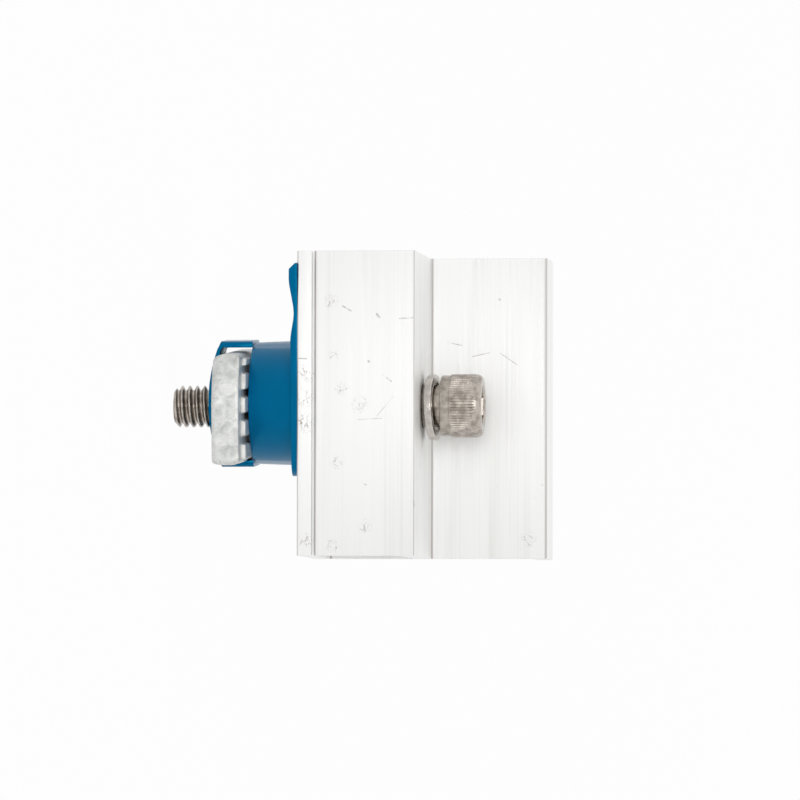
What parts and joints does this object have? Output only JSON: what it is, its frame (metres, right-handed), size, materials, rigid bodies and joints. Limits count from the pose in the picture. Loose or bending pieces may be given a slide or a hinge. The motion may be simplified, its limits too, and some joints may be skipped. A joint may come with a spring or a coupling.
{
  "type": "solar module end clamp",
  "caption": "Extruded aluminium end clamp for a solar module, with its socket cap screw, spring lock washer and quarter-turn channel nut in a plastic holder.",
  "frame": {"origin": "where the screw's axis meets the clamp face that sits on the rail", "axes": "+Z along the screw towards its head, X along the extrusion, Y along the rail with the module on the +Y side"},
  "size_m": [0.0573, 0.0451, 0.0695],
  "materials": {
    "mill_aluminium": "mill finish extrusion, sawn ends",
    "stainless_screw": "cold formed stainless steel, knurled head",
    "stainless_washer": "rolled stainless steel strip",
    "zinc_nut": "mottled zinc coating on a cast nut",
    "blue_plastic": "moulded plastic, soft gloss"
  },
  "bodies": {
    "clamp": {"clamp_body": "mill_aluminium"},
    "washer": {"lock_washer": "stainless_washer"},
    "screw": {"cap_screw": "stainless_screw"},
    "nut": {"channel_nut": "zinc_nut", "nut_holder": "blue_plastic"}
  },
  "joints": [
    {"name": "nut_turn", "type": "hinge", "parent": "clamp", "child": "nut", "pos_m": [0, 0, -0.005], "axis": [0, 0, 1], "range_deg": [-95.5, 4.5]},
    {"name": "washer_lift", "type": "slide", "parent": "clamp", "child": "washer", "axis": [0, 0, 1], "range_m": [-0.0004, 0.0128]},
    {"name": "screw_turn", "type": "hinge", "parent": "washer", "child": "screw", "pos_m": [0, 0, 0.0258], "axis": [0, 0, 1], "range_deg": [-90, 3240]}
  ],
  "couplings": [
    {"joint": "washer_lift", "follows": "screw_turn", "m_per_rad": 0.00022459}
  ]
}
